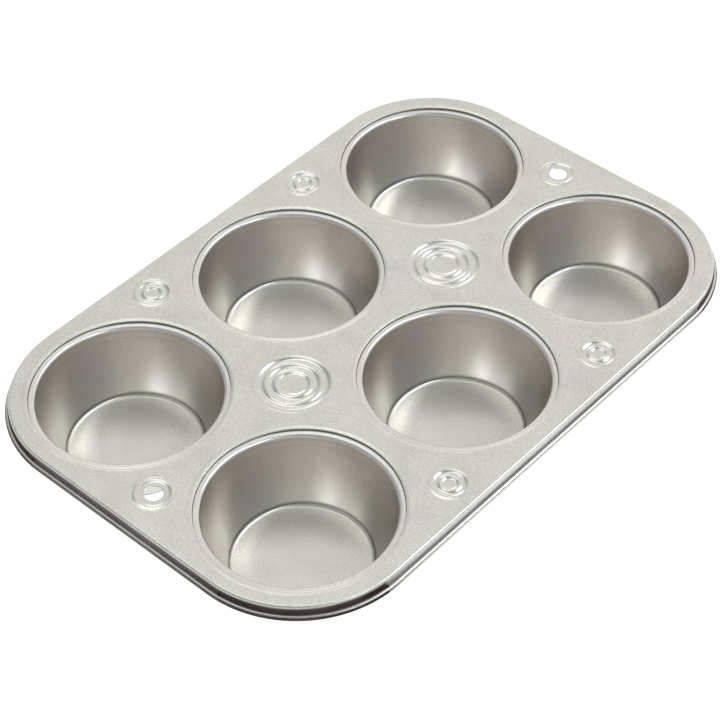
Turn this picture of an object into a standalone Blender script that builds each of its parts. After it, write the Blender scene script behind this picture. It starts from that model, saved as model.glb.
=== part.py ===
"""Six-cup muffin pan in tinplate.

A frame sheet carries six drawn cups. Each cup's rim is hooked round the collar of its hole in the frame,
and the frame's edge is rolled round a steel wire. The long side lies along X, the short side along Y and
up is Z. The origin is on the table, under the middle of the pan. All sizes are in metres.
"""

from math import cos, pi, radians, sin, tan

import bmesh
import bpy
from mathutils import Matrix, Vector

# Sheet, and the gaps between pieces
SHEET = 0.00035
SEAM_FIT = 0.0003  # between a cup's hooked rim and the frame's collar
WIRE_FIT = 0.0002  # between the wire and the edge rolled round it

# Names of the cups' columns along X and rows along Y
COLUMNS = ("left", "middle", "right")
ROWS = ("front", "back")

# Cup
CUP_DEPTH = 0.029  # from the plate's top down to the inside of the floor
MOUTH_RADIUS = 0.0349  # inside, where the line of the wall meets the level of the rim
WALL_SLOPE = radians(19.4)  # of the wall, from upright
FLOOR_ROUND = 0.002
MOUTH_ROUND = 0.0015
RIM_WIDTH = 0.0021  # from the line of the wall out to the face inside the collar
RIM_ROUND = 0.0003
RIM_DROP = 0.0006  # from the plate's top down to the rim
HOOK_HEIGHT = 0.0013  # how far the rim's hook stands up outside the collar

# Holes of the frame that take the cups
COLLAR_HEIGHT = 0.0032  # from the plate's top down to the collar's lower edge
COLLAR_BEND = 0.00035
DISH_WIDTH = 0.0019  # of the shallow slope between the plate and the collar
DISH_DROP = 0.0003

# Flat left on the plate, beside the dished holes
WEB_ALONG = 0.0069  # between neighbouring cups of a row
WEB_ACROSS = 0.0069  # between the rows
END_LAND = 0.00515  # to the skirt's outer face at the short ends
SIDE_LAND = 0.00555  # to the skirt's outer face at the long sides
CORNER_LAND = 0.0054  # sets the corner's radius, seen from above

# Skirt and rolled edge
PLATE_BEND = 0.0008  # outer radius of the bend from the plate into the skirt
SKIRT_HEIGHT = 0.0037  # from the plate's top down to the crest of the rolled edge
SKIRT_FLARE = 0.0005  # radius in which the skirt turns out over the wire
ROLL_RADIUS = 0.0011  # outer radius of the rolled edge
ROLL_TURN = radians(300)  # how far the sheet goes round the wire
WIRE_JOINT = 0.001  # gap where the wire's two ends meet

# Large medallions, stamped between four cups
MEDALLION_DISC = 0.0048  # radius of the flat middle
MEDALLION_SLOPE = 0.0019  # width of each slope between a valley and a ridge
MEDALLION_SLOPES = 4
MEDALLION_SHOULDER = 0.0026  # width of the outermost slope, up to the plate
MEDALLION_LOW = -0.0006  # height of the valleys over the plate's top
MEDALLION_HIGH = -0.0001  # height of the ridges over the plate's top

# Small medallions, stamped between two cups along each side
BOSS_DISC = 0.0022
BOSS_SLOPE = 0.0015
BOSS_SLOPES = 3
BOSS_SHOULDER = 0.0015
BOSS_LOW = -0.0003
BOSS_HIGH = 0.0002
BOSS_LAND = 0.0032  # flat between the medallion and the plate's bend

# Hanging holes with a stamped ring, at each end
EYE_HOLE = 0.0035  # radius
EYE_LIP = 0.0015  # width of the flat round the hole
EYE_SLOPE = 0.0016
EYE_SHOULDER = 0.0015
EYE_LOW = -0.0001
EYE_HIGH = 0.0003
EYE_LAND = 0.0065  # flat between the ring and the plate's bend

# Fineness of the round shapes
CUP_STEPS = 28
CORNER_STEPS = 8
BEND_STEPS = 2
SMALL_BEND_STEPS = 1
MOUTH_STEPS = 3
ROLL_STEPS = 10
MEDALLION_STEPS = 20
BOSS_STEPS = 14
EYE_STEPS = 14
WIRE_STEPS = 2
SMOOTH_BELOW = radians(35)

# Worked out from the sizes above
PLATE_TOP = SHEET + CUP_DEPTH
HOLE_RADIUS = MOUTH_RADIUS + RIM_WIDTH + SEAM_FIT
DISH_RADIUS = HOLE_RADIUS + DISH_WIDTH
FLOOR_RADIUS = MOUTH_RADIUS - (CUP_DEPTH - RIM_DROP) * tan(WALL_SLOPE)
PITCH_ALONG = 2 * DISH_RADIUS + WEB_ALONG
PITCH_ACROSS = 2 * DISH_RADIUS + WEB_ACROSS
HALF_LENGTH = (len(COLUMNS) - 1) / 2 * PITCH_ALONG + DISH_RADIUS + END_LAND
HALF_WIDTH = (len(ROWS) - 1) / 2 * PITCH_ACROSS + DISH_RADIUS + SIDE_LAND
CORNER_RADIUS = DISH_RADIUS + CORNER_LAND
CREST_Z = PLATE_TOP - SKIRT_HEIGHT
ROLL_Z = CREST_Z - ROLL_RADIUS
WIRE_RADIUS = ROLL_RADIUS - SHEET - WIRE_FIT


def clear_scene():
    for obj in list(bpy.data.objects):
        bpy.data.objects.remove(obj, do_unlink=True)


def metal(name, colour, roughness):
    """A bare metal finish."""
    material = bpy.data.materials.new(name)
    material.use_nodes = True
    shader = material.node_tree.nodes["Principled BSDF"]
    shader.inputs["Base Color"].default_value = (*colour, 1.0)
    shader.inputs["Metallic"].default_value = 1.0
    shader.inputs["Roughness"].default_value = roughness
    return material


def arc(middle, radius, start, sweep, steps):
    """Points on a circle round middle, from the angle start on through sweep."""
    angles = [start + sweep * k / steps for k in range(steps + 1)]
    return [(middle[0] + radius * cos(a), middle[1] + radius * sin(a)) for a in angles]


def rounded(corners):
    """Points of a path of straight runs, with some of its corners rounded.

    A corner is (x, z), or (x, z, radius, steps) where it is rounded. The rounding's middle lies on the
    line that halves the corner's angle.
    """
    points = [corners[0]]
    for before, here, after in zip(corners, corners[1:], corners[2:]):
        if len(here) == 2:
            points.append(here)
            continue
        corner = Vector(here[:2])
        radius, steps = here[2:]
        back = (Vector(before[:2]) - corner).normalized()
        ahead = (Vector(after[:2]) - corner).normalized()
        half_angle = back.angle(ahead) / 2
        middle = corner + (back + ahead).normalized() * radius / sin(half_angle)
        start = corner + back * radius / tan(half_angle) - middle
        turn = pi - 2 * half_angle
        if back.cross(ahead) > 0:
            turn = -turn
        for k in range(steps + 1):
            points.append(tuple(middle + Matrix.Rotation(turn * k / steps, 2) @ start))
    points.append(corners[-1])
    return points


def circle(middle, radius, steps):
    return arc(middle, radius, 0.0, 2 * pi, steps)[:-1]


def outline(offset):
    """The pan's outline seen from above, moved out from the skirt's outer face by offset."""
    reach_x = HALF_LENGTH - CORNER_RADIUS
    reach_y = HALF_WIDTH - CORNER_RADIUS
    quarter = pi / 2
    points = []
    for k, (side_x, side_y) in enumerate(((1, 1), (-1, 1), (-1, -1), (1, -1))):
        middle = (side_x * reach_x, side_y * reach_y)
        points += arc(middle, CORNER_RADIUS + offset, k * quarter, quarter, CORNER_STEPS)
    return points


def edge_profile():
    """(offset from the skirt's outer face, z) from the plate's flat out to the end of the roll."""
    bend = arc((-PLATE_BEND, PLATE_TOP - PLATE_BEND), PLATE_BEND, pi / 2, -pi / 2, BEND_STEPS)
    flare = arc((SKIRT_FLARE, CREST_Z + SKIRT_FLARE), SKIRT_FLARE, pi, pi / 2, BEND_STEPS)
    roll = arc((SKIRT_FLARE, ROLL_Z), ROLL_RADIUS, pi / 2, -ROLL_TURN, ROLL_STEPS)
    return bend + flare + roll[1:]


def collar_profile():
    """(radius, z) from the plate's flat down to the collar's lower edge."""
    return rounded((
        (DISH_RADIUS, PLATE_TOP),
        (HOLE_RADIUS, PLATE_TOP - DISH_DROP, COLLAR_BEND, SMALL_BEND_STEPS),
        (HOLE_RADIUS, PLATE_TOP - COLLAR_HEIGHT),
    ))


def cup_profile():
    """(radius, z) from the tip of the hook, round the collar and over the rim, to the floor's middle."""
    hook_radius = HOLE_RADIUS + SHEET + SEAM_FIT
    hook_z = PLATE_TOP - COLLAR_HEIGHT - SEAM_FIT
    leg_radius = HOLE_RADIUS - SEAM_FIT
    rim_z = PLATE_TOP - RIM_DROP
    floor_z = PLATE_TOP - CUP_DEPTH
    return rounded((
        (hook_radius, hook_z + HOOK_HEIGHT),
        (hook_radius, hook_z),
        (leg_radius, hook_z),
        (leg_radius, rim_z, RIM_ROUND, SMALL_BEND_STEPS),
        (MOUTH_RADIUS, rim_z, MOUTH_ROUND, MOUTH_STEPS),
        (FLOOR_RADIUS, floor_z, FLOOR_ROUND, BEND_STEPS),
        (0.0, floor_z),
    ))


def stamping_profile(disc, slope, slopes, shoulder, low, high):
    """(radius, z) from a stamping's edge in to its flat middle, by turns a ridge and a valley."""
    rings = [(disc + k * slope, PLATE_TOP + (high if k % 2 else low)) for k in range(slopes + 1)]
    edge = (rings[-1][0] + shoulder, PLATE_TOP)
    return [edge, *reversed(rings)]


def centred(count, pitch):
    """Places of count things at one pitch, evenly about 0."""
    return [(k - (count - 1) / 2) * pitch for k in range(count)]


def cup_places():
    """(name, (x, y)) of every cup."""
    for row, y in zip(ROWS, centred(len(ROWS), PITCH_ACROSS)):
        for column, x in zip(COLUMNS, centred(len(COLUMNS), PITCH_ALONG)):
            yield f"cup_{row}_{column}", (x, y)


def add_bands(bm, levels):
    """Rows of faces between loops that run the same way, each given as (points, z).

    The faces look up where the loops run inward. Returns the loops' vertices.
    """
    loops = [[bm.verts.new((x, y, z)) for x, y in points] for points, z in levels]
    for outer, inner in zip(loops, loops[1:]):
        for k in range(len(outer)):
            bm.faces.new((outer[k - 1], outer[k], inner[k], inner[k - 1]))
    return loops


def add_rings(bm, middle, profile, steps):
    """The (radius, z) points of profile turned about middle."""
    return add_bands(bm, [(circle(middle, radius, steps), z) for radius, z in profile])


def sheet_mesh(name, bm):
    mesh = bpy.data.meshes.new(name)
    bm.to_mesh(mesh)
    bm.free()
    mesh.shade_smooth()
    mesh.set_sharp_from_angle(angle=SMOOTH_BELOW)
    return mesh


def add_object(name, data, material):
    if not data.materials:
        data.materials.append(material)
    obj = bpy.data.objects.new(name, data)
    bpy.context.collection.objects.link(obj)
    return obj


def add_sheet(name, mesh, material):
    """An object whose surface gets the sheet's thickness, on the side that its faces look away from."""
    obj = add_object(name, mesh, material)
    solid = obj.modifiers.new("sheet", "SOLIDIFY")
    solid.thickness = SHEET
    solid.offset = -1.0
    solid.use_even_offset = True
    solid.use_quality_normals = True
    return obj


def add_stampings(bm):
    """Medallions and hanging holes. Returns the loops in which they meet the plate."""
    between_x = centred(len(COLUMNS) - 1, PITCH_ALONG)
    between_y = centred(len(ROWS) - 1, PITCH_ACROSS)

    medallion = stamping_profile(
        MEDALLION_DISC, MEDALLION_SLOPE, MEDALLION_SLOPES, MEDALLION_SHOULDER, MEDALLION_LOW, MEDALLION_HIGH)
    boss = stamping_profile(BOSS_DISC, BOSS_SLOPE, BOSS_SLOPES, BOSS_SHOULDER, BOSS_LOW, BOSS_HIGH)
    eye = stamping_profile(EYE_HOLE + EYE_LIP, EYE_SLOPE, 1, EYE_SHOULDER, EYE_LOW, EYE_HIGH)
    eye.append((EYE_HOLE, PLATE_TOP + EYE_LOW))
    boss_y = HALF_WIDTH - PLATE_BEND - BOSS_LAND - boss[0][0]
    eye_x = HALF_LENGTH - PLATE_BEND - EYE_LAND - eye[0][0]

    closed = [add_rings(bm, (x, y), medallion, MEDALLION_STEPS) for x in between_x for y in between_y]
    closed += [add_rings(bm, (x, y), boss, BOSS_STEPS) for x in between_x for y in (-boss_y, boss_y)]
    for loops in closed:
        bm.faces.new(loops[-1])
    pierced = [add_rings(bm, (x, y), eye, EYE_STEPS) for x in (-eye_x, eye_x) for y in between_y]
    return [loops[0] for loops in closed + pierced]


def add_frame(material):
    """The frame as one surface, its faces up and out, which then gets the sheet's thickness."""
    bm = bmesh.new()
    edge_loops = add_bands(bm, [(outline(offset), z) for offset, z in reversed(edge_profile())])
    rims = [edge_loops[-1]]
    rims += [add_rings(bm, middle, collar_profile(), CUP_STEPS)[0] for _, middle in cup_places()]
    rims += add_stampings(bm)
    edges = [bm.edges.get((rim[k - 1], rim[k])) for rim in rims for k in range(len(rim))]
    bmesh.ops.triangle_fill(bm, use_beauty=True, use_dissolve=False, edges=edges, normal=(0, 0, 1))
    add_sheet("frame_plate", sheet_mesh("frame_plate", bm), material)


def add_cups(material):
    """The same cup at every place."""
    bm = bmesh.new()
    loops = add_rings(bm, (0.0, 0.0), cup_profile()[:-1], CUP_STEPS)
    bm.faces.new(loops[-1])
    mesh = sheet_mesh("cup", bm)
    for name, (x, y) in cup_places():
        add_sheet(name, mesh, material).location = (x, y, 0.0)


def add_wire(material):
    """The wire inside the rolled edge, from one end round to the other, which meet at the back."""
    loop = outline(SKIRT_FLARE)
    back_right = CORNER_STEPS + 1
    back_y = loop[CORNER_STEPS][1]
    ends = ((-WIRE_JOINT / 2, back_y), (WIRE_JOINT / 2, back_y))
    route = [ends[0], *loop[back_right:], *loop[:back_right], ends[1]]
    curve = bpy.data.curves.new("edge_wire", "CURVE")
    curve.dimensions = "3D"
    curve.bevel_depth = WIRE_RADIUS
    curve.bevel_resolution = WIRE_STEPS
    curve.use_fill_caps = True
    spline = curve.splines.new("POLY")
    spline.points.add(len(route) - 1)
    for point, (x, y) in zip(spline.points, route):
        point.co = (x, y, ROLL_Z, 1.0)
    add_object("edge_wire", curve, material)


def main():
    clear_scene()
    add_frame(metal("tinplate_frame", (0.60, 0.59, 0.57), 0.38))
    add_cups(metal("tinplate_cup", (0.52, 0.50, 0.48), 0.33))
    add_wire(metal("wire_steel", (0.42, 0.42, 0.42), 0.4))


main()
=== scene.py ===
"""Looks of a six-cup muffin pan in tinplate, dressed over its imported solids.

Three kinds of piece are made here: the frame sheet with its stampings and rolled edge, the six cups that
are hooked into it, and the wire inside the roll. Each is a profile, worked out with numpy, that is carried
round a circle or round the pan's outline. Sizes are in metres, and a profile's height is measured from the
flat top of the plate.
"""

import logging
import math
from collections.abc import Sequence
from dataclasses import dataclass, field
from enum import Enum

import bpy
import numpy as np
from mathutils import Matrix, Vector
from mathutils.geometry import delaunay_2d_cdt


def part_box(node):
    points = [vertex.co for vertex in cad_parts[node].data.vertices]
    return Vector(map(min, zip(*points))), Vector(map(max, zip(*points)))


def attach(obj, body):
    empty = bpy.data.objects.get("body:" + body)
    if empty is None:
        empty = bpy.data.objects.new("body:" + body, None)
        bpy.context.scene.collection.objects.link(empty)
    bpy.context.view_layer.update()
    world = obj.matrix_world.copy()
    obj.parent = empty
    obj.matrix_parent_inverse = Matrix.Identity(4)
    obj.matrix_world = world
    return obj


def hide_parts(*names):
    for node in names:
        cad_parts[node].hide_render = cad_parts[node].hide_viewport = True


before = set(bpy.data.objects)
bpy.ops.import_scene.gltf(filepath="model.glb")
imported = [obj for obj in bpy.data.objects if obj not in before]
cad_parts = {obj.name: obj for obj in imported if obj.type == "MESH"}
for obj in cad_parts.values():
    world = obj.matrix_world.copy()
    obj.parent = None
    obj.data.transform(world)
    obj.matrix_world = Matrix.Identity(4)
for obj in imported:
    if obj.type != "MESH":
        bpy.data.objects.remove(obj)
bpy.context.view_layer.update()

LOG = logging.getLogger("muffin_pan")
BODY = "root"
MM = 0.001
TURN = 2 * math.pi
NEAR = 1e-6  # heights closer than this are level
SAME = 1e-9  # places closer than this are one
EYE_RISE = 0.3 * MM  # of the ridges of the hanging holes above the plate
CORNER = 44.6 * MM  # radius of the skirt's corners
POLISHED = -4.0  # haze of metal that a die pressed smooth

Tree = bpy.types.NodeTree
Socket = bpy.types.NodeSocket
Colour = tuple[float, float, float, float]
Pair = tuple[float, float]
Triple = tuple[float, float, float]
Ring = tuple[np.ndarray, Pair, float]  # numbers of a ring's points, its middle and its radius


class Slot(Enum):
    """The record's material slots."""

    FRAME = "tinplate_frame"
    CUP = "tinplate_cup"
    WIRE = "wire_steel"


class Mark(Enum):
    """Values that a mesh carries at its points, for its finish to read."""

    # grime and patina, and painted shade in seams, creases and corners
    SOIL = "soil"
    WORKED = "worked"
    HAZE = "haze"
    FLOW = "flow"


def linear(code: str) -> Colour:
    """A colour as light.

    Args:
        code: sRGB hex value, such as "#C8C4BC".

    Returns:
        Linear red, green and blue, with an alpha of 1.
    """
    parts = [int(code[k : k + 2], 16) / 255 for k in (1, 3, 5)]
    light = [c / 12.92 if c <= 0.04045 else ((c + 0.055) / 1.055) ** 2.4 for c in parts]
    return (*light, 1.0)


def add_node(tree: Tree, kind: str, settings: dict, inputs: dict) -> bpy.types.Node:
    """Adds one node.

    Args:
        tree: The tree that takes the node.
        kind: The node's type name.
        settings: Properties of the node itself.
        inputs: A value or another node's output for each input, by its name or number.

    Returns:
        The new node.
    """
    node = tree.nodes.new(kind)
    for name, value in settings.items():
        setattr(node, name, value)
    for socket, value in inputs.items():
        if isinstance(value, Socket):
            tree.links.new(value, node.inputs[socket])
        else:
            node.inputs[socket].default_value = value
    return node


def smooth_step(values: np.ndarray, low: float, high: float) -> np.ndarray:
    """Rises from 0 at low to 1 at high as 3t² - 2t³."""
    t = np.clip((values - low) / (high - low), 0.0, 1.0)
    return t * t * (3 - 2 * t)


def bell(values: np.ndarray, middle: float, width: float) -> np.ndarray:
    """A bell curve of height 1: exp(-((value - middle) / width)²)."""
    return np.exp(-(((values - middle) / width) ** 2))


def arc(middle: Sequence[float], radius: float, start: float, sweep: float, steps: int) -> np.ndarray:
    """Points on a circle: middle + radius · (cos a, sin a), with a running from start through sweep.

    Args:
        middle: The circle's middle.
        radius: Its radius.
        start: First angle, in radians.
        sweep: Angle to the last point, positive for anticlockwise.
        steps: Number of steps along the arc.

    Returns:
        An array of steps + 1 points.
    """
    angles = start + sweep * np.linspace(0.0, 1.0, steps + 1)
    return np.asarray(middle) + radius * np.column_stack((np.cos(angles), np.sin(angles)))


def rounded(corners: Sequence[Sequence[float]], steps: int, longest: float) -> np.ndarray:
    """A path of straight runs with rounded corners.

    The rounding of a corner is an arc whose middle lies on the line that halves the corner, at
    radius / sin(half the angle) from it.

    Args:
        corners: (x, z, radius) of each corner; the first and last are ends and stay as they are.
        steps: Least number of steps in each rounding.
        longest: Longest step in a rounding.

    Returns:
        The path's points.
    """
    ends = np.asarray(corners, float)
    points = [ends[:1, :2]]
    for before, here, after in zip(ends, ends[1:], ends[2:]):
        corner, radius = here[:2], here[2]
        back = (before[:2] - corner) / np.linalg.norm(before[:2] - corner)
        ahead = (after[:2] - corner) / np.linalg.norm(after[:2] - corner)
        half = math.acos(float(back @ ahead)) / 2
        halving = (back + ahead) / np.linalg.norm(back + ahead)
        middle = corner + halving * radius / math.sin(half)
        first = corner + back * radius / math.tan(half) - middle
        side = -1 if back[0] * ahead[1] - back[1] * ahead[0] > 0 else 1
        start = math.atan2(first[1], first[0])
        turn = math.pi - 2 * half
        count = max(steps, math.ceil(radius * turn / longest))
        points.append(arc(middle, radius, start, side * turn, count))
    points.append(ends[-1:, :2])
    return np.concatenate(points)


def refined(path: np.ndarray, longest: float) -> np.ndarray:
    """Cuts a path's long runs into equal parts.

    Args:
        path: The path's points.
        longest: Longest part.

    Returns:
        The points, with start · (1 - share) + end · share between the ends of each run.
    """
    lengths = np.linalg.norm(np.diff(path, axis=0), axis=1)
    parts = np.maximum(1, np.ceil(lengths / longest).astype(int))
    starts = np.repeat(np.arange(len(lengths)), parts)
    shares = np.concatenate([np.arange(n) / n for n in parts])[:, None]
    inner = path[starts] * (1 - shares) + path[starts + 1] * shares
    return np.concatenate((inner, path[-1:]))


def eased(knots: Sequence[Sequence[float]], spacing: float) -> np.ndarray:
    """A relief that follows half a cosine wave from each knot to the next.

    Between two knots the height is h0 + (h1 - h0) · (1 - cos πt) / 2, with t from 0 to 1.

    Args:
        knots: (radius, height) from the outside in.
        spacing: Distance between points along the radius.

    Returns:
        The relief's (radius, height) points.
    """
    pieces = []
    for (r0, h0), (r1, h1) in zip(knots, knots[1:]):
        t = np.linspace(0.0, 1.0, max(2, round((r0 - r1) / spacing)), endpoint=False)
        pieces.append(np.column_stack((r0 + (r1 - r0) * t, h0 + (h1 - h0) * (1 - np.cos(math.pi * t)) / 2)))
    pieces.append(np.asarray([knots[-1]], float))
    return np.concatenate(pieces)


@dataclass
class Shell:
    """Points and faces of one piece of sheet, gathered part by part.

    Faces look up where their rings run inward and each ring runs anticlockwise, seen from above. Each point
    carries how much dark brown lies on it, real grime and painted shade, and how far its metal was worked,
    from 0 to 1, how hazy that left it, down to -4 where it was polished, and a place in a map in which
    lines left by the tools run straight.
    """

    points: list[np.ndarray] = field(default_factory=list)
    marks: dict[Mark, list[np.ndarray]] = field(default_factory=lambda: {mark: [] for mark in Mark})
    quads: list[np.ndarray] = field(default_factory=list)
    triangles: list[np.ndarray] = field(default_factory=list)
    count: int = 0

    def add_points(
        self,
        points: np.ndarray,
        soil: np.ndarray | float = 0.0,
        worked: np.ndarray | float = 0.0,
        flow: np.ndarray | None = None,
        haze: np.ndarray | float = 0.0,
    ) -> np.ndarray:
        """Adds points.

        Args:
            points: Places, with x, y and z on the last axis.
            soil: Grime and painted shade at each point.
            worked: How far the metal was worked at each point.
            flow: The points' places in the map of tool lines, or None where it doesn't matter.
            haze: How hazy the metal is at each point.

        Returns:
            The points' numbers, in the shape of the places.
        """
        shape = points.shape[:-1]
        self.points.append(points.reshape(-1, 3))
        for mark, values in ((Mark.SOIL, soil), (Mark.WORKED, worked), (Mark.HAZE, haze)):
            self.marks[mark].append(np.broadcast_to(values, shape).ravel())
        self.marks[Mark.FLOW].append((points if flow is None else flow).ravel())
        first = self.count
        self.count += int(np.prod(shape))
        return np.arange(first, self.count).reshape(shape)

    def add_rings(self, rings: np.ndarray, **marks: np.ndarray | float) -> np.ndarray:
        """Adds closed rings and the quads between neighbouring rings.

        Args:
            rings: Places, as rings × points a ring × 3.
            **marks: The points' soil, worked, flow and haze, as for add_points.

        Returns:
            The points' numbers, as rings × points a ring.
        """
        ids = self.add_points(rings, **marks)
        outer, inner = ids[:-1], ids[1:]
        corners = (np.roll(outer, 1, axis=1), outer, inner, np.roll(inner, 1, axis=1))
        self.quads.append(np.stack(corners, axis=-1).reshape(-1, 4))
        return ids

    def add_cap(self, ring: np.ndarray, middle: np.ndarray) -> None:
        """Closes a ring with a fan of triangles.

        Args:
            ring: Numbers of the ring's points.
            middle: Place of the point that the fan goes round.
        """
        centre = self.add_points(middle[None])[0]
        fan = (np.roll(ring, 1), ring, np.full_like(ring, centre))
        self.triangles.append(np.stack(fan, axis=-1))

    def build(self, name: str) -> bpy.types.Object:
        """Makes the object, smooth-shaded, with its points' values as attributes.

        Args:
            name: The object's name.

        Returns:
            The object, at the origin.
        """
        points = np.concatenate(self.points)
        faces = (*self.quads, *self.triangles)
        corners = np.concatenate([f.ravel() for f in faces])
        sizes = np.concatenate([np.full(len(f), f.shape[1]) for f in faces])
        mesh = bpy.data.meshes.new(name)
        mesh.vertices.add(len(points))
        mesh.vertices.foreach_set("co", points.astype(np.float32).ravel())
        mesh.loops.add(len(corners))
        mesh.loops.foreach_set("vertex_index", corners.astype(np.int32))
        mesh.polygons.add(len(sizes))
        mesh.polygons.foreach_set("loop_start", (np.cumsum(sizes) - sizes).astype(np.int32))
        mesh.update(calc_edges=True)
        mesh.validate()
        mesh.shade_smooth()
        for mark, values in self.marks.items():
            kind, key = ("FLOAT_VECTOR", "vector") if mark is Mark.FLOW else ("FLOAT", "value")
            layer = mesh.attributes.new(mark.value, kind, "POINT")
            layer.data.foreach_set(key, np.concatenate(values).astype(np.float32))
        obj = bpy.data.objects.new(name, mesh)
        bpy.context.scene.collection.objects.link(obj)
        return obj


def thicken(obj: bpy.types.Object, sheet: float) -> None:
    """Gives a shell its thickness, on the side that its faces look away from.

    Args:
        obj: The shell's object.
        sheet: Thickness of the sheet.
    """
    solid = obj.modifiers.new("sheet", "SOLIDIFY")
    solid.thickness = sheet
    solid.offset = -1.0
    solid.use_even_offset = True
    solid.use_quality_normals = True


@dataclass(frozen=True)
class Outline:
    """The pan's outline seen from above: a rectangle with round corners, walked anticlockwise."""

    half_length: float
    half_width: float
    corner: float

    @property
    def quarter(self) -> float:
        """Length of one corner's arc."""
        return self.corner * math.pi / 2

    @property
    def runs(self) -> np.ndarray:
        """Lengths of the straight runs, each after its corner."""
        length = 2 * (self.half_length - self.corner)
        width = 2 * (self.half_width - self.corner)
        return np.array((length, width, length, width))

    @property
    def corner_starts(self) -> np.ndarray:
        """Way along the outline to the start of each corner, and last to the end of the walk."""
        return np.concatenate(([0.0], np.cumsum(self.quarter + self.runs)))

    def at(self, way: np.ndarray) -> tuple[np.ndarray, np.ndarray]:
        """Places on the outline.

        On a corner the place is its middle + radius · (cos a, sin a), where the angle a grows as the way
        over the radius; on a straight run a stands still and the place moves on square to it.

        Args:
            way: Distances walked from the start of the first corner.

        Returns:
            The places and the unit vectors that point out of the pan there.
        """
        starts = self.corner_starts
        k = np.clip(np.searchsorted(starts, way, side="right") - 1, 0, 3)
        walked = way - starts[k]
        angle = k * math.pi / 2 + np.minimum(walked, self.quarter) / self.corner
        straight = np.maximum(walked - self.quarter, 0.0)
        sides = np.array(((1, 1), (-1, 1), (-1, -1), (1, -1)))[k]
        middles = sides * (self.half_length - self.corner, self.half_width - self.corner)
        out = np.column_stack((np.cos(angle), np.sin(angle)))
        along = np.column_stack((-out[:, 1], out[:, 0]))
        return middles + self.corner * out + straight[:, None] * along, out


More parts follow.
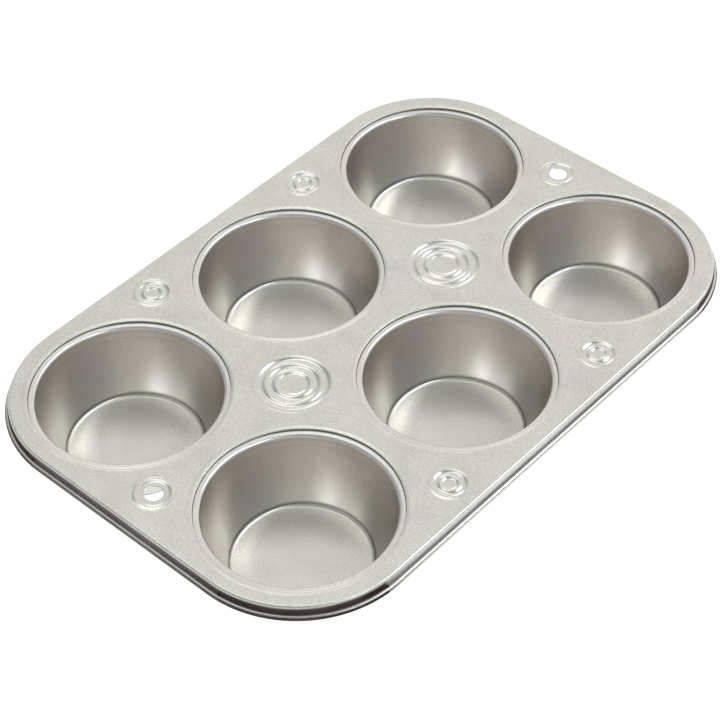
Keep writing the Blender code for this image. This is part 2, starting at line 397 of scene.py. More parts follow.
@dataclass(frozen=True)
class Tinplate:
    """Steel sheet with a rolled skin of tin: satin, finely grained where it is flat, smoother where drawn.

    The tin mirrors its surroundings softly and a little warm. Fine pits speckle it where it was only
    rolled, broad clouds dull it, and drawing polishes it and leaves upright lines. Its hazy parts carry a
    painted brown-pink reflection, and a dark brown darkens it where parts meet: painted shade in seams,
    creases, corners and pockets, and on the skirt partly real patina and partly painted dark reflection.
    """

    name: str
    colour: str = "#E3E2DC"
    cloud: str = "#DAD9D1"
    pit: str = "#AFAEA4"
    drawn: str = "#DDDBD6"  # where the metal was worked most
    warm_reflection_tint: str = "#DDD7D0"  # painted warm reflection, brown-pink, on the hazy upper walls
    line: str = "#BAB5AC"  # in the lines left by the drawing die
    # dark brown for real patina and for painted shade in seams, creases, corners and on the skirt
    grime_and_shade: str = "#382C26"
    rough_flat: float = 0.30
    rough_drawn: float = 0.285
    rough_haze: float = 0.315
    rough_spread: float = 0.01  # how much rougher or smoother a cloud is
    rough_grime_and_shade: float = 0.25  # added where the dark brown lies thickest, real patina and painted shade alike
    grain: float = 0.5 * MM  # drawn about twice as coarse as the real one, which is too fine to show
    grain_depth: float = 0.001 * MM
    grain_left: float = 0.15  # share of the grain that is left where the metal was worked most
    pitting: float = 0.55  # how far the deepest specks turn the colour to that of a pit
    cloud_size: float = 16 * MM
    patches_a_cloud: int = 6  # patches of the drawn metal's colour across a cloud
    streak: float = 0.8 * MM  # width of a line left by the drawing die
    streak_depth: float = 0.001 * MM
    streak_tone: float = 0.14

    def build(self) -> bpy.types.Material:
        """Makes the material.

        The colour goes from tin to clouds, drawn metal, painted warm reflection, pits, lines, and a dark
        brown of patina and painted shade.

        Returns:
            The material.
        """
        material = bpy.data.materials.new(self.name)
        material.use_nodes = True
        tree = material.node_tree
        shader = tree.nodes["Principled BSDF"]
        shader.inputs["Metallic"].default_value = 1.0
        place = add_node(tree, "ShaderNodeTexCoord", {}, {}).outputs["Object"]
        soil = self.mark(tree, Mark.SOIL).outputs["Fac"]
        worked = self.mark(tree, Mark.WORKED).outputs["Fac"]
        haze = self.mark(tree, Mark.HAZE).outputs["Fac"]
        flow = self.mark(tree, Mark.FLOW).outputs["Vector"]
        flat = self.ranged(tree, worked, (0.0, 1.0), (1.0, self.grain_left))
        grain = self.noise(tree, place, self.grain, 1.0)
        clouds = self.noise(tree, place, self.cloud_size, 4.0)
        patches = self.noise(tree, place, self.cloud_size / self.patches_a_cloud, 3.0)
        streaks = self.noise(tree, flow, self.streak, 2.0)

        cloudy = self.ranged(tree, clouds, (0.35, 0.65), (0.0, 1.0))
        tin = self.mix(tree, cloudy, linear(self.colour), linear(self.cloud))
        cast = self.ranged(tree, patches, (0.3, 0.7), (0.8, 1.0))
        tin = self.mix(tree, self.combined(tree, "MULTIPLY", worked, cast), tin, linear(self.drawn))
        # painted brown-pink reflection on the hazy upper walls
        tin = self.mix(tree, haze, tin, linear(self.warm_reflection_tint))
        speck = self.ranged(tree, grain, (0.35, 0.75), (0.0, self.pitting))
        tin = self.mix(tree, self.combined(tree, "MULTIPLY", speck, flat), tin, linear(self.pit))
        lined = self.ranged(tree, streaks, (0.5, 0.75), (0.0, self.streak_tone))
        tin = self.mix(tree, self.combined(tree, "MULTIPLY", lined, worked), tin, linear(self.line))
        # dark brown where the mesh says: painted shade in seams, creases and corners, and on the skirt
        # partly real patina, partly painted dark reflection
        dirt_and_shade = self.combined(tree, "MULTIPLY", soil, self.ranged(tree, clouds, (0.3, 0.6), (0.93, 1.0)))
        tree.links.new(self.mix(tree, dirt_and_shade, tin, linear(self.grime_and_shade)), shader.inputs["Base Color"])

        rough = self.ranged(tree, worked, (0.0, 1.0), (self.rough_flat, self.rough_drawn))
        uneven = self.ranged(tree, clouds, (0.3, 0.7), (-self.rough_spread, self.rough_spread))
        rough = self.combined(tree, "ADD", rough, uneven)
        reach = self.rough_haze - self.rough_drawn
        dulled = self.ranged(tree, haze, (POLISHED, -POLISHED), (POLISHED * reach, -POLISHED * reach))
        rough = self.combined(tree, "ADD", rough, dulled)
        roughened = self.ranged(tree, dirt_and_shade, (0.0, 1.0), (0.0, self.rough_grime_and_shade))
        tree.links.new(self.combined(tree, "ADD", rough, roughened), shader.inputs["Roughness"])

        pits = {"Strength": flat, "Distance": self.grain_depth, "Height": grain}
        pitted = add_node(tree, "ShaderNodeBump", {}, pits).outputs["Normal"]
        lines = {"Strength": worked, "Distance": self.streak_depth, "Height": streaks, "Normal": pitted}
        relief = add_node(tree, "ShaderNodeBump", {}, lines).outputs["Normal"]
        tree.links.new(relief, shader.inputs["Normal"])
        return material

    @staticmethod
    def mark(tree: Tree, mark: Mark) -> bpy.types.Node:
        """Reads one of the mesh's values."""
        return add_node(tree, "ShaderNodeAttribute", {"attribute_name": mark.value}, {})

    @staticmethod
    def noise(tree: Tree, place: Socket, size: float, detail: float) -> Socket:
        """Soft noise from 0 to 1 whose lumps are about size across."""
        inputs = {"Vector": place, "Scale": 1 / size, "Detail": detail}
        return add_node(tree, "ShaderNodeTexNoise", {}, inputs).outputs["Fac"]

    @staticmethod
    def ranged(tree: Tree, value: Socket, old: Pair, new: Pair) -> Socket:
        """The value carried from the old range to the new one, and held within it."""
        limits = {"From Min": old[0], "From Max": old[1], "To Min": new[0], "To Max": new[1]}
        return add_node(tree, "ShaderNodeMapRange", {}, {"Value": value, **limits}).outputs["Result"]

    @staticmethod
    def combined(tree: Tree, operation: str, first: Socket, second: Socket) -> Socket:
        """The sum or product of two values, as the operation ADD or MULTIPLY says."""
        node = add_node(tree, "ShaderNodeMath", {"operation": operation}, {0: first, 1: second})
        return node.outputs["Value"]

    @staticmethod
    def mix(tree: Tree, share: Socket, first: Socket | Colour, second: Socket | Colour) -> Socket:
        """A colour from first, at share 0, to second, at share 1, on the node's colour sockets."""
        settings = {"data_type": "RGBA", "clamp_factor": True}
        return add_node(tree, "ShaderNodeMix", settings, {"Factor": share, 6: first, 7: second}).outputs[2]


@dataclass(frozen=True)
class Band:
    """A band of painted shade across a profile, strongest at one height."""

    strength: float
    height: float
    spread: float

    def at(self, height: np.ndarray) -> np.ndarray:
        """Painted shade at each height, strength times a bell curve of it."""
        return self.strength * bell(height, self.height, self.spread)


def turned(profile: np.ndarray, middle: Sequence[float], base: float, columns: int) -> np.ndarray:
    """Turns a profile about an upright axis: middle + radius · (cos a, sin a), at base + height.

    Args:
        profile: (radius, height) from the outside in.
        middle: Where the axis stands.
        base: Height from which the profile's heights count.
        columns: Points in each ring.

    Returns:
        Places, as rings × columns × 3.
    """
    circle = arc((0.0, 0.0), 1.0, 0.0, TURN, columns)[:-1]
    rings = np.empty((len(profile), columns, 3))
    rings[..., :2] = np.asarray(middle) + profile[:, :1, None] * circle
    rings[..., 2] = base + profile[:, 1:]
    return rings


@dataclass(frozen=True)
class Hole:
    """A hole of the frame: a low ridge round it, a slope down to its edge, and its turned-down collar."""

    radius: float = 37.3 * MM  # inner face of the collar
    ridge: float = 38.5 * MM
    ridge_height: float = 0.10 * MM
    ridge_round: float = 1.0 * MM
    foot: float = 39.5 * MM  # where the ridge's outer flank starts
    foot_round: float = 2.0 * MM
    drop: float = 0.20 * MM
    bend: float = 0.15 * MM
    height: float = 3.2 * MM  # from the plate's top down to the collar's lower edge
    margin: float = 0.9 * MM  # from the ridge's foot out to where the plate's fill starts
    step: float = 0.9 * MM
    round_steps: int = 5
    columns: int = 128
    # painted shade in the gap between the collar and the cup's hook
    grime_and_shade: float = 0.7
    seam_shade_span: Pair = (0.05 * MM, 0.4 * MM)  # from none to full, down from the edge

    def profile(self) -> np.ndarray:
        """The section, a path of straight runs with rounded corners.

        Returns:
            (radius, height) from the plate's flat down to the collar's lower edge.
        """
        corners = (
            (self.foot + self.margin, 0.0, 0.0),
            (self.foot, 0.0, self.foot_round),
            (self.ridge, self.ridge_height, self.ridge_round),
            (self.radius, -self.drop, self.bend),
            (self.radius, -self.height, 0.0),
        )
        return refined(rounded(corners, self.round_steps, self.step), self.step)

    def soil(self, profile: np.ndarray) -> np.ndarray:
        """Painted shade at each point of the profile: none on the plate, more down the seam gap."""
        start, full = self.seam_shade_span
        return self.grime_and_shade * smooth_step(-profile[:, 1], self.drop + start, self.drop + full)


@dataclass(frozen=True)
class Stamping:
    """A round ornament pressed into the plate."""

    knots: tuple[Pair, ...]  # (radius, height) in millimetres, from the outside in
    columns: int
    pierced: bool = False
    margin: float = 0.8 * MM
    spacing: float = 0.35 * MM

    def profile(self) -> np.ndarray:
        """(radius, height) from the plate's flat in to the middle or the hole's edge."""
        relief = eased(np.asarray(self.knots) * MM, self.spacing)
        return np.concatenate(([(relief[0, 0] + self.margin, 0.0)], relief))


@dataclass
class FrameSheet:
    """The frame: plate, stampings, holes, skirt and rolled edge, from one sheet."""

    plate_top: float
    outline: Outline
    cup_middles: list[Pair]
    hole: Hole = Hole()
    sheet: float = 0.35 * MM
    bend: float = 0.8 * MM
    skirt: float = 3.9 * MM  # from the plate's top down to the crest of the roll
    flare: float = 0.5 * MM
    roll: float = 1.1 * MM
    roll_turn: float = math.radians(300)
    rim: float = 2.0 * MM  # flat margin between the plate's fill and the skirt's face
    step: float = 0.8 * MM
    corner_steps: int = 28
    arc_steps: tuple[int, int, int] = (6, 5, 24)  # in the bend, the flare and the roll
    corner_lift: float = 0.05 * MM  # how much higher the roll runs round the corners
    lift_span: Pair = (0.45, 0.85)  # shares of the skirt over which the lift grows
    hem_ends: Pair = (4.0 * MM, 4.7 * MM)  # way into a corner, from a short and a long side
    hem_width: float = 0.5 * MM
    hem_depth: float = 0.45 * MM
    hem_reach: float = 2.0 * MM  # how far each side of a hem's end the columns are close
    hem_columns: int = 21
    pocket: Pair = (0.1 * MM, 0.3 * MM)  # of a hem's end: out from the skirt's face, up from the crest
    # painted shade in the groove between the skirt and the roll
    crevice_shade: Band = Band(0.8, 0.2 * MM, 0.5 * MM)  # height above the crest
    # dark brown, partly real patina and partly painted dark reflection of the surroundings
    stain_and_shade: Triple = (0.85, 0.15, 1.0)  # brown of short sides, long sides and corners
    stain_and_shade_past: float = 0.6  # share of a corner's brown that runs on past its hem
    stain_and_shade_fade: float = 12 * MM  # how fast that fades along the sides
    stain_and_shade_face: Pair = (0.15, 1.6)  # from none to full, in bends below the top
    face_width: float = 0.3 * MM  # how far out from the skirt's face that reaches
    stain_and_shade_under: Pair = (0.05, 0.4)  # from none to full, in rolls below the crest
    worked_edge: float = 0.6
    fill_step: float = 6.0 * MM
    pressed: float = 0.5  # how far the metal of a stamping was worked
    medallion: Stamping = Stamping(
        (
            (16.2, 0.0),
            (14.3, 0.13),
            (12.1, -0.52),
            (10.25, -0.02),
            (8.4, -0.56),
            (6.5, -0.02),
            (4.6, -0.5),
            (0.6, -0.5),
        ),
        columns=80,
    )
    boss: Stamping = Stamping(
        ((8.1, 0.0), (6.7, 0.22), (5.0, -0.28), (3.4, 0.2), (2.1, -0.25), (0.4, -0.25)), columns=56
    )
    eye: Stamping = Stamping(((8.1, 0.0), (6.6, 0.28), (5.1, -0.1), (3.5, -0.1)), columns=56, pierced=True)
    boss_insets: Pair = (12.2 * MM, 13.4 * MM)  # from the skirt's face, front and back
    eye_inset: float = 15.4 * MM

    def edge_profile(self) -> np.ndarray:
        """The edge's section.

        The bend, the flare and the roll are arcs, and the skirt is the straight run between the first two.

        Returns:
            (offset from the skirt's face, height) from the plate's flat out to the end of the roll.
        """
        crest = -self.skirt
        square = math.pi / 2
        in_bend, in_flare, in_roll = self.arc_steps
        bend = arc((-self.bend, -self.bend), self.bend, square, -square, in_bend)
        flare = arc((self.flare, crest + self.flare), self.flare, math.pi, square, in_flare)
        roll = arc((self.flare, crest - self.roll), self.roll, square, -self.roll_turn, in_roll)
        path = np.concatenate(([(-self.rim, 0.0)], bend, flare, roll[1:]))
        return refined(path, self.step)

    def hems(self) -> np.ndarray:
        """The ends of the corners' hems.

        Returns:
            Way along the outline to the first and the last end in each corner.
        """
        short, long = self.hem_ends
        starts = self.outline.corner_starts[:4]
        first = np.array((short, long, short, long))
        last = np.array((long, short, long, short))
        return np.sort(np.concatenate((starts + first, starts + self.outline.quarter - last)))

    def stations(self) -> np.ndarray:
        """The columns of the edge: even on corners, wide on runs, close at the hems' ends.

        Returns:
            Way along the outline to each column.
        """
        starts = self.outline.corner_starts
        corner = np.linspace(0.0, self.outline.quarter, self.corner_steps + 1)[:-1]
        counts = np.maximum(2, np.round(self.outline.runs / self.fill_step)).astype(int)
        parts = [start + corner for start in starts[:4]]
        parts += [
            np.linspace(end - run, end, count, endpoint=False)
            for end, run, count in zip(starts[1:], self.outline.runs, counts)
        ]
        clear = np.concatenate(parts)
        far = np.abs(clear[:, None] - self.hems()).min(axis=1) > 1.1 * self.hem_reach
        close = self.hems()[:, None] + np.linspace(-self.hem_reach, self.hem_reach, self.hem_columns)
        return np.sort(np.concatenate((clear[far], close.ravel())))

    def on_corner(self, way: np.ndarray) -> np.ndarray:
        """Tells a corner's hem from a straight one.

        Args:
            way: Distances along the outline.

        Returns:
            1 on a corner's hem, 0 on a straight one, with a short rise between them.
        """
        hems = self.hems()
        share = np.zeros_like(way)
        for first, last in zip(hems[::2], hems[1::2]):
            share += smooth_step(way, first, first + self.hem_width)
            share -= smooth_step(way, last - self.hem_width, last)
        return share

    def stained_and_shaded(self, way: np.ndarray, out: np.ndarray) -> np.ndarray:
        """Dark brown along the outline, partly real patina and partly painted dark reflection: full on the
        corners' hems, then exp(-distance / fade length) of a share.

        Args:
            way: Distances along the outline.
            out: Unit vectors that point out of the pan there.

        Returns:
            How dark brown the edge is at each place, from 0 to 1.
        """
        short, long, corner = self.stain_and_shade
        side = np.where(np.abs(out[:, 0]) > np.abs(out[:, 1]), short, long)
        hems = self.hems()
        ends = np.append(hems, hems[0] + self.outline.corner_starts[4])
        past = np.abs(way[:, None] - ends).min(axis=1)
        share = np.maximum(self.on_corner(way), self.stain_and_shade_past * np.exp(-past / self.stain_and_shade_fade))
        return side + (corner - side) * share

    def edge(self, shell: Shell) -> np.ndarray:
        """Adds the skirt and the roll.

        A point is outline(way) + out · offset, at the profile's height. The skirt is dark brown from the
        bend down, most round the corners, partly real patina and partly painted dark reflection, and the
        groove just above the roll's crest carries painted shade. Round the corners the roll is lifted by
        corner_lift, and where a straight hem meets a corner's hem the flare is pinched in by a bell curve,
        which leaves a small pocket there, darkened with painted shade.

        Args:
            shell: The shell that takes the points.

        Returns:
            The numbers of the innermost ring's points, where the plate starts.
        """
        offset, height = self.edge_profile()[::-1].T[:, :, None]
        way = self.stations()
        place, out = self.outline.at(way)
        pinch = sum(bell(way, hem, self.hem_width) for hem in self.hems())
        pocket_out, pocket_up = self.pocket
        pocket = bell(offset, pocket_out, self.flare) * bell(height, pocket_up - self.skirt, self.flare)
        offsets = offset - self.hem_depth * pocket * pinch
        start, full = (share * self.skirt for share in self.lift_span)
        lift = self.corner_lift * smooth_step(-height, start, full) * self.on_corner(way)
        rings = np.empty((*lift.shape, 3))
        rings[..., :2] = place + out * offsets[..., None]
        rings[..., 2] = self.plate_top + height + lift

        # painted shade in the groove just above the roll's crest
        crevice_shade = self.crevice_shade.at(height + self.skirt) * (offset < 1.2 * self.flare)
        # dark brown on the skirt's face and the roll's underside: partly real patina, partly painted dark
        # reflection
        start, full = (share * self.bend for share in self.stain_and_shade_face)
        face = smooth_step(-height, start, full) * (offset < self.face_width)
        start, full = (self.skirt + share * self.roll for share in self.stain_and_shade_under)
        face += smooth_step(-height, start, full) * (offset > self.flare)
        stain_and_shade = np.maximum(crevice_shade, face * self.stained_and_shaded(way, out))
        # painted shade in the pinched pocket at each hem's end
        soil = np.clip(stain_and_shade + pocket * pinch, 0.0, 1.0)
        worked = self.worked_edge * smooth_step(-height, 0.0, self.bend)
        return shell.add_rings(rings, soil=soil, worked=worked)[-1]

    def ornaments(self) -> list[tuple[Stamping, Pair]]:
        """Finds the places of the stampings: medallions and bosses between the cups, eyes at the ends.

        Returns:
            (stamping, middle) of each.
        """
        xs = sorted({x for x, _ in self.cup_middles})
        between = [(a + b) / 2 for a, b in zip(xs, xs[1:])]
        front, back = self.boss_insets
        sides = (front - self.outline.half_width, self.outline.half_width - back)
        end = self.outline.half_length - self.eye_inset
        found = [(self.medallion, (x, 0.0)) for x in between]
        found += [(self.boss, (x, y)) for x in between for y in sides]
        found += [(self.eye, (x, 0.0)) for x in (-end, end)]
        return found

    def fill_places(self, rings: list[Ring]) -> np.ndarray:
        """Even places on the plate's flat, clear of its edge and of every ring.

        Args:
            rings: The outer ring of every hole and stamping.

        Returns:
            The places, as rows of x and y.
        """
        step = self.fill_step
        inset = self.rim + step / 2
        half = np.array((self.outline.half_length, self.outline.half_width)) - inset
        axes = (np.arange(-h, h + step, step) for h in half)
        grid = np.stack(np.meshgrid(*axes), axis=-1).reshape(-1, 2)
        reach = self.outline.corner - inset
        past = np.maximum(np.abs(grid) - (half - reach), 0.0)
        keep = np.hypot(*past.T) < reach
        for _, middle, radius in rings:
            keep &= np.hypot(*(grid - middle).T) > radius + step / 3
        return grid[keep]

    def fill(self, shell: Shell, rim: np.ndarray, rings: list[Ring]) -> None:
        """Adds the plate's flat: triangles between the edge and the rings round the holes and stampings.

        Args:
            shell: The shell that takes the faces.
            rim: Numbers of the points of the innermost ring of the edge.
            rings: The outer ring of every hole and stamping.
        """
        loops = [rim, *(ids for ids, _, _ in rings)]
        known = np.concatenate(shell.points)[np.concatenate(loops), :2]
        free = self.fill_places(rings)
        places = np.concatenate((known, free))
        flat = np.column_stack((free, np.full(len(free), self.plate_top)))
        ids = np.concatenate((*loops, shell.add_points(flat)))
        firsts = np.cumsum([0, *map(len, loops)])
        steps = [np.arange(len(loop)) for loop in loops]
        edges = [np.column_stack((k, np.roll(k, -1))) + first for k, first in zip(steps, firsts)]
        points = [Vector(place) for place in places.tolist()]
        _, _, found, origin, _, _ = delaunay_2d_cdt(points, np.concatenate(edges).tolist(), [], 0, SAME)
        order = np.array([numbers[0] for numbers in origin])
        faces = order[np.array(found)]
        middles = places[faces].mean(axis=1)
        solid = np.ones(len(faces), bool)
        for loop, middle, radius in rings:
            solid &= np.hypot(*(middles - middle).T) > radius * math.cos(math.pi / len(loop))
        shell.triangles.append(ids[faces[solid]])

    def build(self) -> bpy.types.Object:
        """Makes the frame sheet.

        Returns:
            The sheet's object.
        """
        shell = Shell()
        rim = self.edge(shell)
        profile = self.hole.profile()
        soil = self.hole.soil(profile)[:, None]
        rings = []
        for middle in self.cup_middles:
            places = turned(profile, middle, self.plate_top, self.hole.columns)
            ids = shell.add_rings(places, soil=soil, worked=soil)
            rings.append((ids[0], middle, profile[0, 0]))
        for stamping, middle in self.ornaments():
            relief = stamping.profile()
            places = turned(relief, middle, self.plate_top, stamping.columns)
            inward = relief[0, 0] - relief[:, :1]
            polish = smooth_step(inward, stamping.margin, 2 * stamping.margin)
            ids = shell.add_rings(places, worked=self.pressed * polish, haze=POLISHED * polish)
            rings.append((ids[0], middle, relief[0, 0]))
            if not stamping.pierced:
                shell.add_cap(ids[-1], np.array((*middle, self.plate_top + relief[-1, 1])))
        self.fill(shell, rim, rings)
        obj = shell.build("frame_sheet")
        thicken(obj, self.sheet)
        return obj


@dataclass
class Cup:
    """A drawn cup whose rim is hooked tightly round the collar of its hole."""

    name: str
    middle: Pair
    plate_top: float
    number: int  # shifts the tool lines, so that no two cups are alike
    sheet: float = 0.35 * MM
    depth: float = 28.99 * MM  # from the plate's top down to the inside of the floor
    mouth: float = 34.95 * MM
    floor: float = 25.7 * MM
    belly: float = 0.8 * MM  # how far the wall swells past a straight line
    leg: float = 37.26 * MM
    hook: float = 37.95 * MM
    hook_bottom: float = 3.5 * MM
    hook_height: float = 1.3 * MM
    hook_round: float = 0.3 * MM
    rim_outer_drop: float = 1.0 * MM
    rim_inner_drop: float = 1.25 * MM
    rim_round: float = 0.2 * MM
    mouth_round: float = 1.4 * MM
    wall_round: float = 108 * MM
    floor_round: float = 1.7 * MM
    floor_crown: float = 0.15 * MM
    floor_hub: float = 0.6 * MM  # radius of the fan that closes the floor
    crease_drops: tuple[float, ...] = (5.5 * MM, 6.9 * MM)
    crease_depth: float = 0.03 * MM
    crease_width: float = 0.35 * MM
    haze_drops: Pair = (13 * MM, 24 * MM)  # hazy, with a painted warm reflection, above the first, clear below the second
    drawn_rise: float = 2.0 * MM  # above the floor, where the wall is drawn fully
    line_pitch: float = 0.05  # tool lines are twenty times as long as they are wide
    # painted shade in the gap between the hook and the collar
    seam_shade: float = 0.8
    seam_span: Pair = (0.1 * MM, 0.6 * MM)  # from none to full, down from the rim's edge
    # painted shade in the floor's corner
    corner_shade: Band = Band(0.75, 1.1 * MM, 0.5 * MM)  # height above the floor
    leg_margin: float = 0.1 * MM  # in from the leg, where the seam's painted shade ends
    # painted shade under the mouth's round
    lip_shade: Band = Band(0.24, -2.2 * MM, 0.8 * MM)
    lip_margin: float = 0.3 * MM  # in from the mouth, where the painted shade under the lip starts
    # painted shade in the creases
    crease_shade: Band = Band(0.1, 0.0, 0.3 * MM)  # height above the crease
    step: float = 0.8 * MM
    round_steps: int = 8
    columns: int = 144

    def profile(self) -> np.ndarray:
        """The cup's section.

        The wall is an arc, made by a widely rounded corner that stands twice the belly off its middle.

        Returns:
            (radius, height) from the hook's tip over the rim and down the wall to the floor's middle.
        """
        top = np.array((self.mouth, -self.rim_inner_drop))
        foot = np.array((self.floor, -self.depth))
        run = (foot - top) / np.linalg.norm(foot - top)
        swell = (top + foot) / 2 + 2 * self.belly * np.array((-run[1], run[0]))
        corners = (
            (self.hook, self.hook_height - self.hook_bottom, 0.0),
            (self.hook, -self.hook_bottom, self.hook_round),
            (self.leg, -self.hook_bottom, self.hook_round),
            (self.leg, -self.rim_outer_drop, self.rim_round),
            (*top, self.mouth_round),
            (*swell, self.wall_round),
            (*foot, self.floor_round),
            (self.floor_hub, -self.depth, 0.0),
        )
        radius, height = refined(rounded(corners, self.round_steps, self.step), self.step).T
        creases = sum(bell(height, -drop, self.crease_width) for drop in self.crease_drops)
        on_wall = radius < self.mouth
        crown = self.floor_crown * np.clip(1 - (radius / (self.floor - self.floor_round)) ** 2, 0.0, 1.0)
        on_floor = height < -self.depth + NEAR
        return np.column_stack((radius + self.crease_depth * creases * on_wall, height + crown * on_floor))

    def build(self) -> bpy.types.Object:
        """Makes the cup, with tool lines that run up its wall.

        Returns:
            The cup's object.
        """
        profile = self.profile()
        radius, height = profile.T[:, :, None]
        rings = turned(profile, self.middle, self.plate_top, self.columns)
        run = np.concatenate(([0.0], np.cumsum(np.linalg.norm(np.diff(profile, axis=0), axis=1))))
        flow = np.empty_like(rings)
        flow[..., :2] = arc((self.number, 0.0), self.leg, 0.0, TURN, self.columns)[:-1]
        flow[..., 2] = self.line_pitch * run[:, None]
        # painted shade in the seam gap, the floor's corner, under the mouth's round and in the creases
        start, full = (self.rim_outer_drop + drop for drop in self.seam_span)
        seam = self.seam_shade * smooth_step(-height, start, full) * (radius > self.leg - self.leg_margin)
        corner = self.corner_shade.at(height + self.depth) * (radius > self.floor - self.floor_round)
        lip = self.lip_shade.at(height)
        lip += sum(self.crease_shade.at(height + drop) for drop in self.crease_drops)
        soil = np.clip(seam + corner + lip * (radius < self.mouth - self.lip_margin), 0.0, 1.0)
        worked = smooth_step(height, -self.depth, self.drawn_rise - self.depth)
        full, none = self.haze_drops
        # hazier, and tinted with painted warm reflection, towards the top of the wall
        haze = smooth_step(height, -none, -full) * (radius < self.mouth)
        shell = Shell()
        ids = shell.add_rings(rings, soil=soil, worked=worked, flow=flow, haze=haze)
        shell.add_cap(ids[-1], np.array((*self.middle, self.plate_top - self.depth + self.floor_crown)))
        obj = shell.build(self.name)
        thicken(obj, self.sheet)
        return obj


@dataclass
class EdgeWire:
    """The wire inside the rolled edge, carried round the pan's outline."""

    outline: Outline
    centre_offset: float
    centre_height: float
    radius: float = 0.55 * MM
    joint: float = 1.0 * MM  # gap between the two ends
    sides: int = 12
    corner_columns: int = 25
    tip: tuple[Pair, ...] = ((0.0, 0.45), (0.15, 0.85), (0.5, 1.0))  # (way, size), both in radii
    grime_and_shade: float = 0.3

    def build(self) -> bpy.types.Object:
        """Makes the wire.

        A point is outline(way) + out · (centre offset + radius · cos a), at the height
        centre height + radius · sin a. The two ends meet at the middle of the back side and are rounded
        off over the last steps.

        Returns:
            The wire's object.
        """
        around = self.outline.corner_starts[4]
        back = self.outline.quarter + self.outline.runs[0] / 2
        corner = np.linspace(0.0, self.outline.quarter, self.corner_columns)
        inner = (self.outline.corner_starts[:4, None] + corner).ravel()
        inner = np.sort(np.where(inner < back, inner + around, inner))
        step, size = np.array(self.tip).T
        start = back + self.joint / 2 + self.radius * step
        stop = back + around - self.joint / 2 - self.radius * step[::-1]
        place, out = self.outline.at(np.concatenate((start, inner, stop)) % around)
        radius = self.radius * np.concatenate((size, np.ones(len(inner)), size[::-1]))[:, None, None]
        circle = radius * arc((0.0, 0.0), 1.0, 0.0, TURN, self.sides)[:-1]
        rings = np.empty((len(place), self.sides, 3))
        rings[..., :2] = place[:, None] + out[:, None] * (self.centre_offset + circle[..., :1])
        rings[..., 2] = self.centre_height + circle[..., 1]
        shell = Shell()
        ids = shell.add_rings(rings[:, ::-1], soil=self.grime_and_shade, worked=1.0)
        ends = rings.mean(axis=1)
        shell.add_cap(ids[-1], ends[-1])
        shell.add_cap(ids[0][::-1], ends[0])
        return shell.build("wire_in_edge")


@dataclass(frozen=True)
class Glow:
    """A soft light source far away, as part of the world."""

    azimuth: float  # degrees from +X towards +Y
    elevation: float
    inner: float  # degrees from its middle out to where it starts to fade
    outer: float
    strength: float
    colour: Triple = (1.0, 1.0, 1.0)

    @property
    def axis(self) -> Triple:
        """Unit vector towards the glow."""
        a, e = math.radians(self.azimuth), math.radians(self.elevation)
        return (math.cos(a) * math.cos(e), math.sin(a) * math.cos(e), math.sin(e))


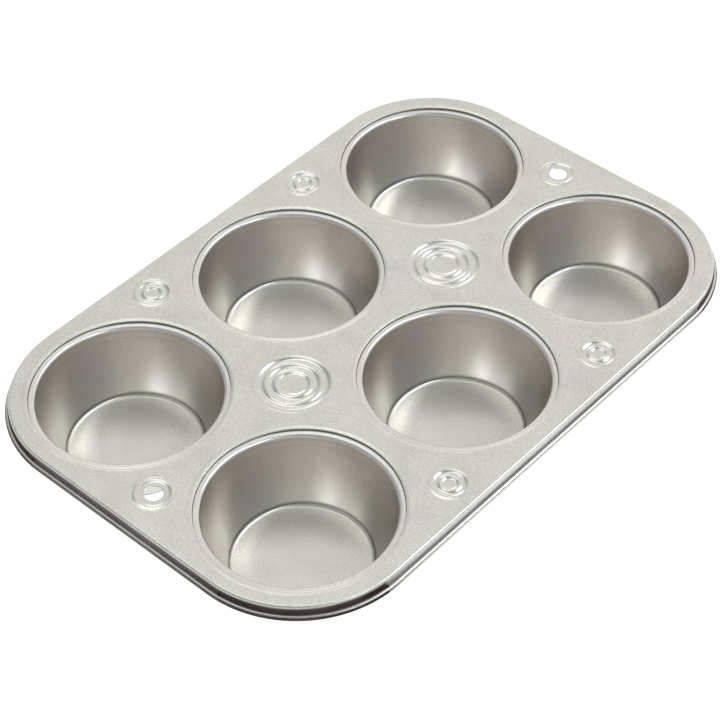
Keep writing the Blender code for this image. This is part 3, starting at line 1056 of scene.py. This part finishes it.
@dataclass
class Studio:
    """White floor, soft surroundings and the photo's camera."""

    fill: Triple = (0.435, 0.45, 0.465)
    glows: tuple[Glow, ...] = (
        Glow(azimuth=-30, elevation=52, inner=5, outer=18, strength=4.5, colour=(0.96, 1.0, 1.06)),
        Glow(azimuth=-92, elevation=48, inner=3, outer=13, strength=4.5, colour=(0.98, 1.0, 1.04)),
        Glow(azimuth=75, elevation=70, inner=4, outer=22, strength=1.0),
        Glow(azimuth=25, elevation=25, inner=15, outer=60, strength=0.45, colour=(1.04, 1.0, 0.95)),
        Glow(azimuth=50, elevation=14, inner=4, outer=13, strength=0.7),
        Glow(azimuth=0, elevation=-90, inner=94, outer=106, strength=0.5),  # white horizon
    )
    floor_size: float = 16.0
    floor_glow: float = 0.95
    floor_colour: str = "#A8A8A8"
    film: float = 36.0  # millimetres wide
    lens: float = 106.75  # millimetres
    camera_place: Triple = (-0.4279, -0.3921, 0.5605)  # height above the plate
    camera_turn: Triple = (44.968, 1.046, -48.108)  # degrees

    def world(self) -> None:
        """The surroundings: an even fill with soft glows."""
        world = bpy.data.worlds.new("studio")
        bpy.context.scene.world = world
        world.use_nodes = True
        tree = world.node_tree
        light = tree.nodes["Background"]
        direction = add_node(tree, "ShaderNodeTexCoord", {}, {}).outputs["Generated"]
        total = self.fill
        for glow in self.glows:
            facing = {0: direction, 1: glow.axis}
            across = add_node(tree, "ShaderNodeVectorMath", {"operation": "DOT_PRODUCT"}, facing)
            fade = {
                "Value": across.outputs["Value"],
                "From Min": math.cos(math.radians(glow.outer)),
                "From Max": math.cos(math.radians(glow.inner)),
                "To Min": 0.0,
                "To Max": glow.strength,
            }
            amount = add_node(tree, "ShaderNodeMapRange", {"interpolation_type": "SMOOTHSTEP"}, fade)
            terms = {0: amount.outputs["Result"], 1: glow.colour, 2: total}
            added = add_node(tree, "ShaderNodeVectorMath", {"operation": "MULTIPLY_ADD"}, terms)
            total = added.outputs["Vector"]
        tree.links.new(total, light.inputs["Color"])

    def floor(self) -> None:
        """A wide pale floor that looks white to the camera and in the metal, and keeps the shadow."""
        half = self.floor_size / 2
        mesh = bpy.data.meshes.new("floor")
        corners = [(-half, -half, 0), (half, -half, 0), (half, half, 0), (-half, half, 0)]
        mesh.from_pydata(corners, [], [(0, 1, 2, 3)])
        floor = bpy.data.objects.new("floor", mesh)
        bpy.context.scene.collection.objects.link(floor)
        material = bpy.data.materials.new("pale_floor")
        material.use_nodes = True
        tree = material.node_tree
        shader = tree.nodes["Principled BSDF"]
        shader.inputs["Base Color"].default_value = linear(self.floor_colour)
        shader.inputs["Roughness"].default_value = 1.0
        shader.inputs["Specular IOR Level"].default_value = 0.0
        shader.inputs["Emission Color"].default_value = (1.0, 1.0, 1.0, 1.0)
        path = add_node(tree, "ShaderNodeLightPath", {}, {}).outputs
        seen = path["Is Camera Ray"]
        for kind in ("Is Glossy Ray", "Is Transmission Ray"):
            either = add_node(tree, "ShaderNodeMath", {"operation": "MAXIMUM"}, {0: seen, 1: path[kind]})
            seen = either.outputs["Value"]
        glow = add_node(tree, "ShaderNodeMath", {"operation": "MULTIPLY"}, {0: seen, 1: self.floor_glow})
        tree.links.new(glow.outputs["Value"], shader.inputs["Emission Strength"])
        mesh.materials.append(material)

    def camera(self, plate_top: float) -> None:
        """The camera as solved from the six cup rims in the photo.

        Args:
            plate_top: Height of the plate's top.
        """
        data = bpy.data.cameras.new("camera")
        data.sensor_width = self.film
        data.lens = self.lens
        data.clip_start = 0.05
        camera = bpy.data.objects.new("camera", data)
        x, y, rise = self.camera_place
        camera.location = (x, y, plate_top + rise)
        camera.rotation_euler = tuple(map(math.radians, self.camera_turn))
        bpy.context.scene.collection.objects.link(camera)
        bpy.context.scene.camera = camera

    def build(self, plate_top: float) -> None:
        """Sets the camera, the world, the floor and the view.

        Args:
            plate_top: Height of the plate's top.
        """
        self.camera(plate_top)
        self.world()
        self.floor()
        bpy.context.scene.view_settings.view_transform = "Standard"


def dress(obj: bpy.types.Object, material: bpy.types.Material, node: str) -> None:
    """Gives a piece its material, joins it to the body and lets it stand for its CAD node.

    Args:
        obj: The piece.
        material: Its finish.
        node: The node that it stands for.
    """
    obj.data.materials.append(material)
    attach(obj, BODY)
    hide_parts(node)
    LOG.info("%s stands for %s with %d points", obj.name, node, len(obj.data.vertices))


def main() -> None:
    """Builds the pan and its studio."""
    logging.basicConfig(level=logging.INFO, format="%(name)s: %(message)s")
    _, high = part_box("frame_plate")
    plate_top = high.z - EYE_RISE
    roll_reach = FrameSheet.flare + FrameSheet.roll
    outline = Outline(high.x - roll_reach, high.y - roll_reach, CORNER)

    cups = sorted(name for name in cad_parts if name.startswith("cup_"))
    middles = {}
    for name in cups:
        cup_low, cup_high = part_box(name)
        middles[name] = ((cup_low.x + cup_high.x) / 2, (cup_low.y + cup_high.y) / 2)

    frame_finish = Tinplate("rolled_tinplate").build()
    cup_finish = Tinplate("drawn_tinplate").build()
    wire_finish = Tinplate("drawn_wire", colour="#9A9894", cloud="#8A8884", drawn="#8A8884").build()

    sheet = FrameSheet(plate_top, outline, list(middles.values()))
    dress(sheet.build(), frame_finish, "frame_plate")
    for number, name in enumerate(cups):
        cup = Cup(name.replace("cup_", "drawn_cup_"), middles[name], plate_top, number)
        dress(cup.build(), cup_finish, name)
    wire = EdgeWire(outline, sheet.flare, plate_top - sheet.skirt - sheet.roll)
    dress(wire.build(), wire_finish, "edge_wire")

    Studio().build(plate_top)


if __name__ == "__main__":
    main()
